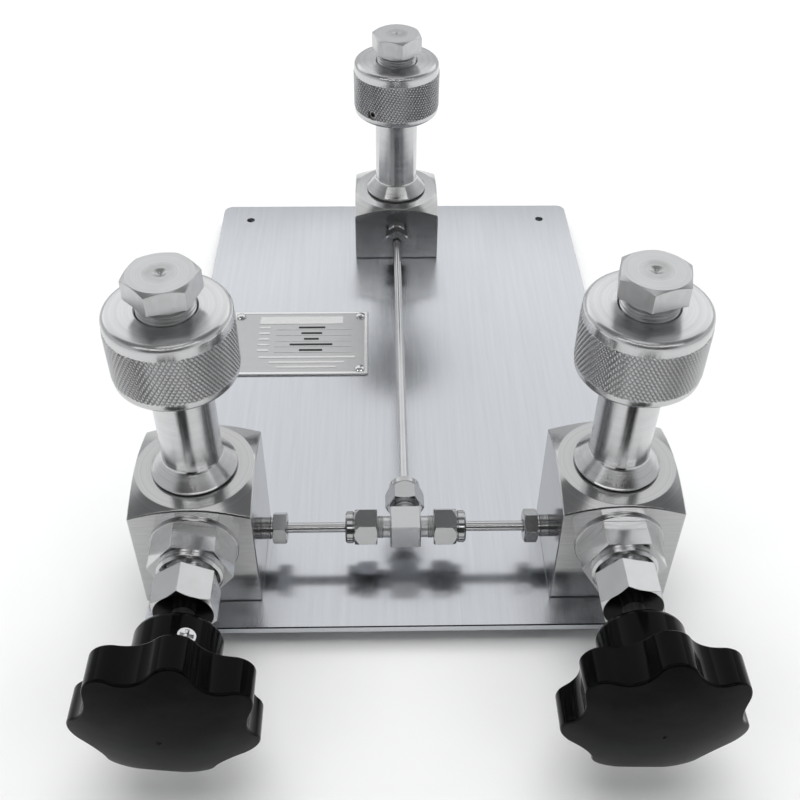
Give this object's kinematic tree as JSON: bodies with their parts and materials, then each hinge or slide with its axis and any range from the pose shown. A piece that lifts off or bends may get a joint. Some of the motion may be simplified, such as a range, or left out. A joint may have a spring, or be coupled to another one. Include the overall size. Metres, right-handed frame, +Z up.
{
  "type": "needle valve gauge calibration stand",
  "caption": "Bench stand that joins screwed gauge ports through blocks and a tee line, with needle valves worked by black lobed knobs.",
  "frame": {"origin": "under the middle of the stand at the level of the feet", "axes": "+Z up, +Y towards the back of the stand (the end with the single short block), +X to the right seen from the knobs"},
  "size_m": [0.2204, 0.367, 0.1506],
  "materials": {
    "plate_steel": "satin, brushed along its length",
    "block_steel": "fine milled and turned",
    "post_steel": "polished stainless steel",
    "nut_steel": "turned and diamond knurled stainless steel",
    "plug_steel": "satin",
    "valve_steel": "satin",
    "fitting_steel": "turned",
    "tube_steel": "bright drawn tube",
    "screw_steel": "plain",
    "inner_steel": "ground",
    "black_phenolic": "glossy sides, satin front",
    "bright_screw": "bright",
    "bush_brass": "turned",
    "foot_rubber": "matt",
    "seal_ptfe": "smooth",
    "nameplate_metal": "satin with a raised border"
  },
  "bodies": {
    "stand": {"base_plate": "plate_steel", "rubber_feet": "foot_rubber", "foot_screws": "screw_steel", "nameplate": "nameplate_metal", "nameplate_rivets": "bright_screw", "front_left_block": "block_steel", "front_right_block": "block_steel", "rear_block": "block_steel", "block_screws": "screw_steel", "drill_plugs": "screw_steel", "left_post": "post_steel", "right_post": "post_steel", "rear_post": "post_steel", "post_gaskets": "foot_rubber", "port_seals": "seal_ptfe", "left_bonnet": "valve_steel", "right_bonnet": "valve_steel", "bonnet_washers": "valve_steel", "left_packing_nut": "valve_steel", "right_packing_nut": "valve_steel", "packing_rings": "seal_ptfe", "packing_followers": "inner_steel", "valve_seats": "inner_steel", "tee_body": "fitting_steel", "tee_nuts": "fitting_steel", "tee_ferrules": "fitting_steel", "left_tube": "tube_steel", "right_tube": "tube_steel", "rear_tube": "tube_steel", "gland_nuts": "fitting_steel", "gland_ferrules": "fitting_steel"},
    "left_needle": {"left_needle": "inner_steel"},
    "right_needle": {"right_needle": "inner_steel"},
    "left_handle": {"left_stem": "inner_steel", "left_knob": "black_phenolic", "left_knob_bush": "bush_brass", "left_knob_screw": "bright_screw"},
    "right_handle": {"right_stem": "inner_steel", "right_knob": "black_phenolic", "right_knob_bush": "bush_brass", "right_knob_screw": "bright_screw"},
    "left_hand_nut": {"left_nut": "nut_steel", "left_nut_screws": "screw_steel"},
    "left_port_plug": {"left_plug": "plug_steel"},
    "right_hand_nut": {"right_nut": "nut_steel", "right_nut_screws": "screw_steel"},
    "right_port_plug": {"right_plug": "plug_steel"},
    "rear_hand_nut": {"rear_nut": "nut_steel", "rear_nut_screws": "screw_steel"},
    "rear_port_plug": {"rear_plug": "plug_steel"}
  },
  "joints": [
    {"name": "left_nut_turn", "type": "hinge", "parent": "stand", "child": "left_hand_nut", "pos_m": [-0.079, -0.081, 0.1235], "axis": [0, 0, -1], "range_deg": [0, 2880]},
    {"name": "left_plug_lift", "type": "slide", "parent": "stand", "child": "left_port_plug", "axis": [0, 0, 1], "range_m": [0, 0.012]},
    {"name": "right_nut_turn", "type": "hinge", "parent": "stand", "child": "right_hand_nut", "pos_m": [0.079, -0.081, 0.1235], "axis": [0, 0, -1], "range_deg": [0, 2880]},
    {"name": "right_plug_lift", "type": "slide", "parent": "stand", "child": "right_port_plug", "axis": [0, 0, 1], "range_m": [0, 0.012]},
    {"name": "rear_nut_turn", "type": "hinge", "parent": "stand", "child": "rear_hand_nut", "pos_m": [0, 0.152, 0.1015], "axis": [0, 0, -1], "range_deg": [0, 2880]},
    {"name": "rear_plug_lift", "type": "slide", "parent": "stand", "child": "rear_port_plug", "axis": [0, 0, 1], "range_m": [0, 0.012]},
    {"name": "left_needle_travel", "type": "slide", "parent": "stand", "child": "left_needle", "axis": [0, -1, 0], "range_m": [-0.0004, 0.002]},
    {"name": "left_handle_turn", "type": "hinge", "parent": "left_needle", "child": "left_handle", "pos_m": [-0.079, -0.141, 0.0425], "axis": [0, -1, 0], "range_deg": [-144, 720]},
    {"name": "right_needle_travel", "type": "slide", "parent": "stand", "child": "right_needle", "axis": [0, -1, 0], "range_m": [-0.0014, 0.001]},
    {"name": "right_handle_turn", "type": "hinge", "parent": "right_needle", "child": "right_handle", "pos_m": [0.079, -0.141, 0.0425], "axis": [0, -1, 0], "range_deg": [-504, 360]}
  ],
  "couplings": [
    {"joint": "left_plug_lift", "follows": "left_nut_turn", "m_per_rad": 0.00023873},
    {"joint": "right_plug_lift", "follows": "right_nut_turn", "m_per_rad": 0.00023873},
    {"joint": "rear_plug_lift", "follows": "rear_nut_turn", "m_per_rad": 0.00023873},
    {"joint": "left_needle_travel", "follows": "left_handle_turn", "m_per_rad": 0.00015915},
    {"joint": "right_needle_travel", "follows": "right_handle_turn", "m_per_rad": 0.00015915}
  ]
}
